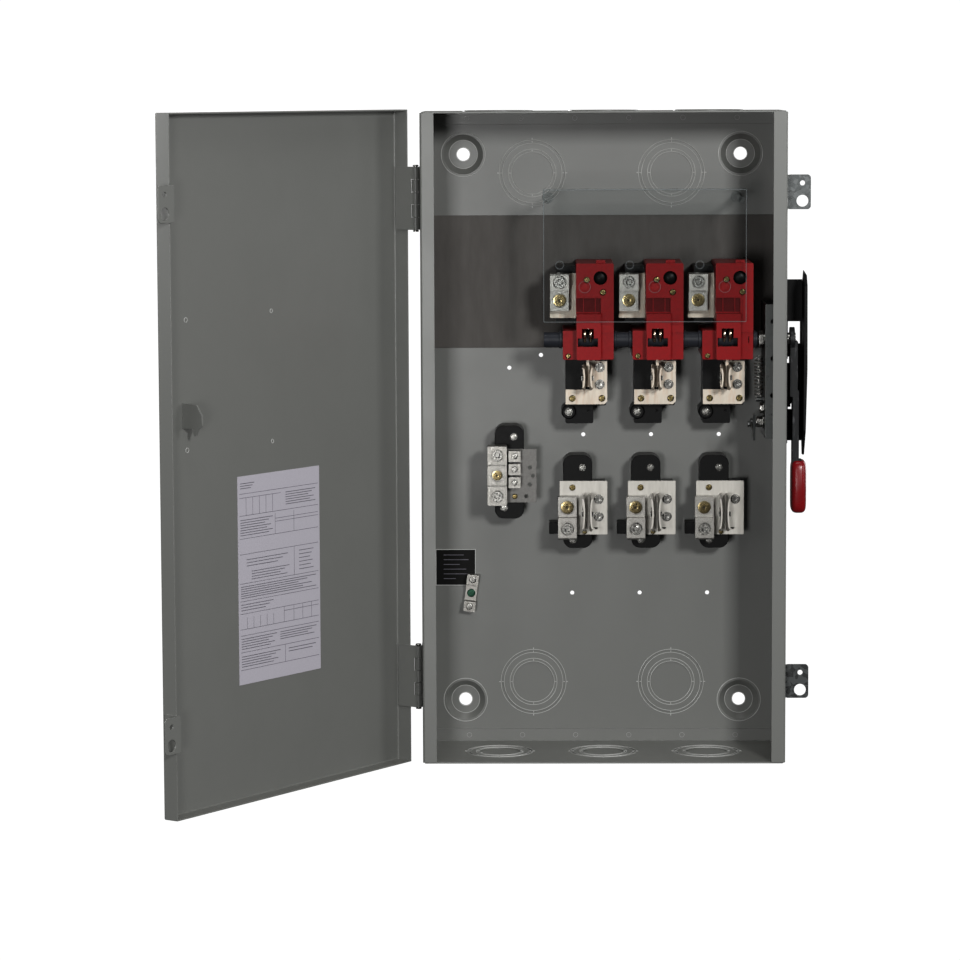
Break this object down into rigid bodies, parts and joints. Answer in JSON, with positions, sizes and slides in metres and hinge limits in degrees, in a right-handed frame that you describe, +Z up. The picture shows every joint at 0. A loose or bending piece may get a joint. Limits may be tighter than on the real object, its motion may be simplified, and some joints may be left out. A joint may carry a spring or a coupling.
{
  "type": "ac disconnect box",
  "caption": "Wall-mounted fusible AC disconnect: grey steel box, side-hinged door, side handle, rotor switch poles, fuse clips, neutral and ground lugs.",
  "frame": {"origin": "centre of the four wall-mounting holes, on the wall plane", "axes": "+X to the handle side, +Z up, -Y out of the wall towards the user"},
  "size_m": [0.668, 0.4665, 0.7074],
  "materials": {
    "enclosure_paint": "baked grey enamel on steel sheet, semi-gloss",
    "zinc_plated_steel": "bright zinc plate",
    "galvanised_steel": "galvanised steel sheet",
    "dark_liner": "dark grey insulating sheet",
    "clear_plastic": "clear moulded polycarbonate",
    "black_moulding": "black phenolic moulding",
    "black_label": "blank black label with a pale border",
    "paper_label": "pale label with plain rules",
    "red_moulding": "red glass-filled polyester moulding",
    "tinned_copper": "tin-plated copper",
    "clip_copper": "tin-plated spring copper",
    "copper_blades": "silver-tipped copper",
    "lug_aluminium": "tin-plated aluminium",
    "brass_screws": "yellow-passivated steel",
    "rotor_moulding": "dark slate thermoset",
    "black_powder_coat": "black powder coat",
    "red_grip": "red moulded vinyl grip"
  },
  "bodies": {
    "enclosure": {"box_wrap": "enclosure_paint", "top_wall": "enclosure_paint", "bottom_wall": "enclosure_paint", "hasp_tabs": "enclosure_paint", "box_hinge_leaves": "enclosure_paint", "hinge_pins": "zinc_plated_steel", "insulating_liner": "dark_liner", "line_shield": "clear_plastic", "shield_posts": "clear_plastic", "service_label": "black_label", "line_terminal_blocks": "black_moulding", "line_contacts": "tinned_copper", "fuse_plates": "tinned_copper", "load_plates": "tinned_copper", "neutral_base": "black_moulding", "neutral_plate": "tinned_copper", "neutral_large_lugs": "lug_aluminium", "neutral_small_lugs": "lug_aluminium", "ground_lug": "lug_aluminium", "lug_screws": "lug_aluminium", "terminal_screws": "brass_screws", "hex_bolts": "zinc_plated_steel", "mechanism_plate": "galvanised_steel", "mechanism_spring": "zinc_plated_steel", "handle_bracket": "black_powder_coat", "pole_base_1": "red_moulding", "arc_cover_1": "red_moulding", "line_lug_1": "lug_aluminium", "upper_fuse_base_1": "black_moulding", "upper_fuse_clip_1": "clip_copper", "lower_fuse_base_1": "black_moulding", "lower_fuse_clip_1": "clip_copper", "load_lug_1": "lug_aluminium", "pole_base_2": "red_moulding", "arc_cover_2": "red_moulding", "line_lug_2": "lug_aluminium", "upper_fuse_base_2": "black_moulding", "upper_fuse_clip_2": "clip_copper", "lower_fuse_base_2": "black_moulding", "lower_fuse_clip_2": "clip_copper", "load_lug_2": "lug_aluminium", "pole_base_3": "red_moulding", "arc_cover_3": "red_moulding", "line_lug_3": "lug_aluminium", "upper_fuse_base_3": "black_moulding", "upper_fuse_clip_3": "clip_copper", "lower_fuse_base_3": "black_moulding", "lower_fuse_clip_3": "clip_copper", "load_lug_3": "lug_aluminium"},
    "door": {"door_pan": "enclosure_paint", "door_hinge_leaves": "enclosure_paint", "latch_tabs": "enclosure_paint", "interlock_hook": "galvanised_steel", "door_label": "paper_label"},
    "handle": {"handle_shaft": "zinc_plated_steel", "handle_lever": "black_powder_coat", "handle_grip": "red_grip"},
    "rotor": {"rotor_shaft": "rotor_moulding", "switch_blades": "copper_blades"},
    "latch": {"interlock_latch": "galvanised_steel"}
  },
  "joints": [
    {"name": "door_hinge", "type": "hinge", "parent": "enclosure", "child": "door", "pos_m": [-0.2009, -0.1176, 0], "axis": [0, 0, 1], "range_deg": [-50, 124]},
    {"name": "handle_swing", "type": "hinge", "parent": "enclosure", "child": "handle", "pos_m": [0.2078, -0.1006, 0.1056], "axis": [-1, 0, 0], "range_deg": [0, 150]},
    {"name": "rotor_turn", "type": "hinge", "parent": "enclosure", "child": "rotor", "pos_m": [0.058, -0.1006, 0.1056], "axis": [-1, 0, 0], "range_deg": [0, 75]},
    {"name": "latch_turn", "type": "hinge", "parent": "enclosure", "child": "latch", "pos_m": [0.16125, -0.0846, 0.012], "axis": [-1, 0, 0], "range_deg": [0, 10]}
  ],
  "couplings": [
    {"joint": "rotor_turn", "follows": "handle_swing", "ratio": 0.5},
    {"joint": "latch_turn", "follows": "handle_swing", "ratio": 0.066667}
  ]
}
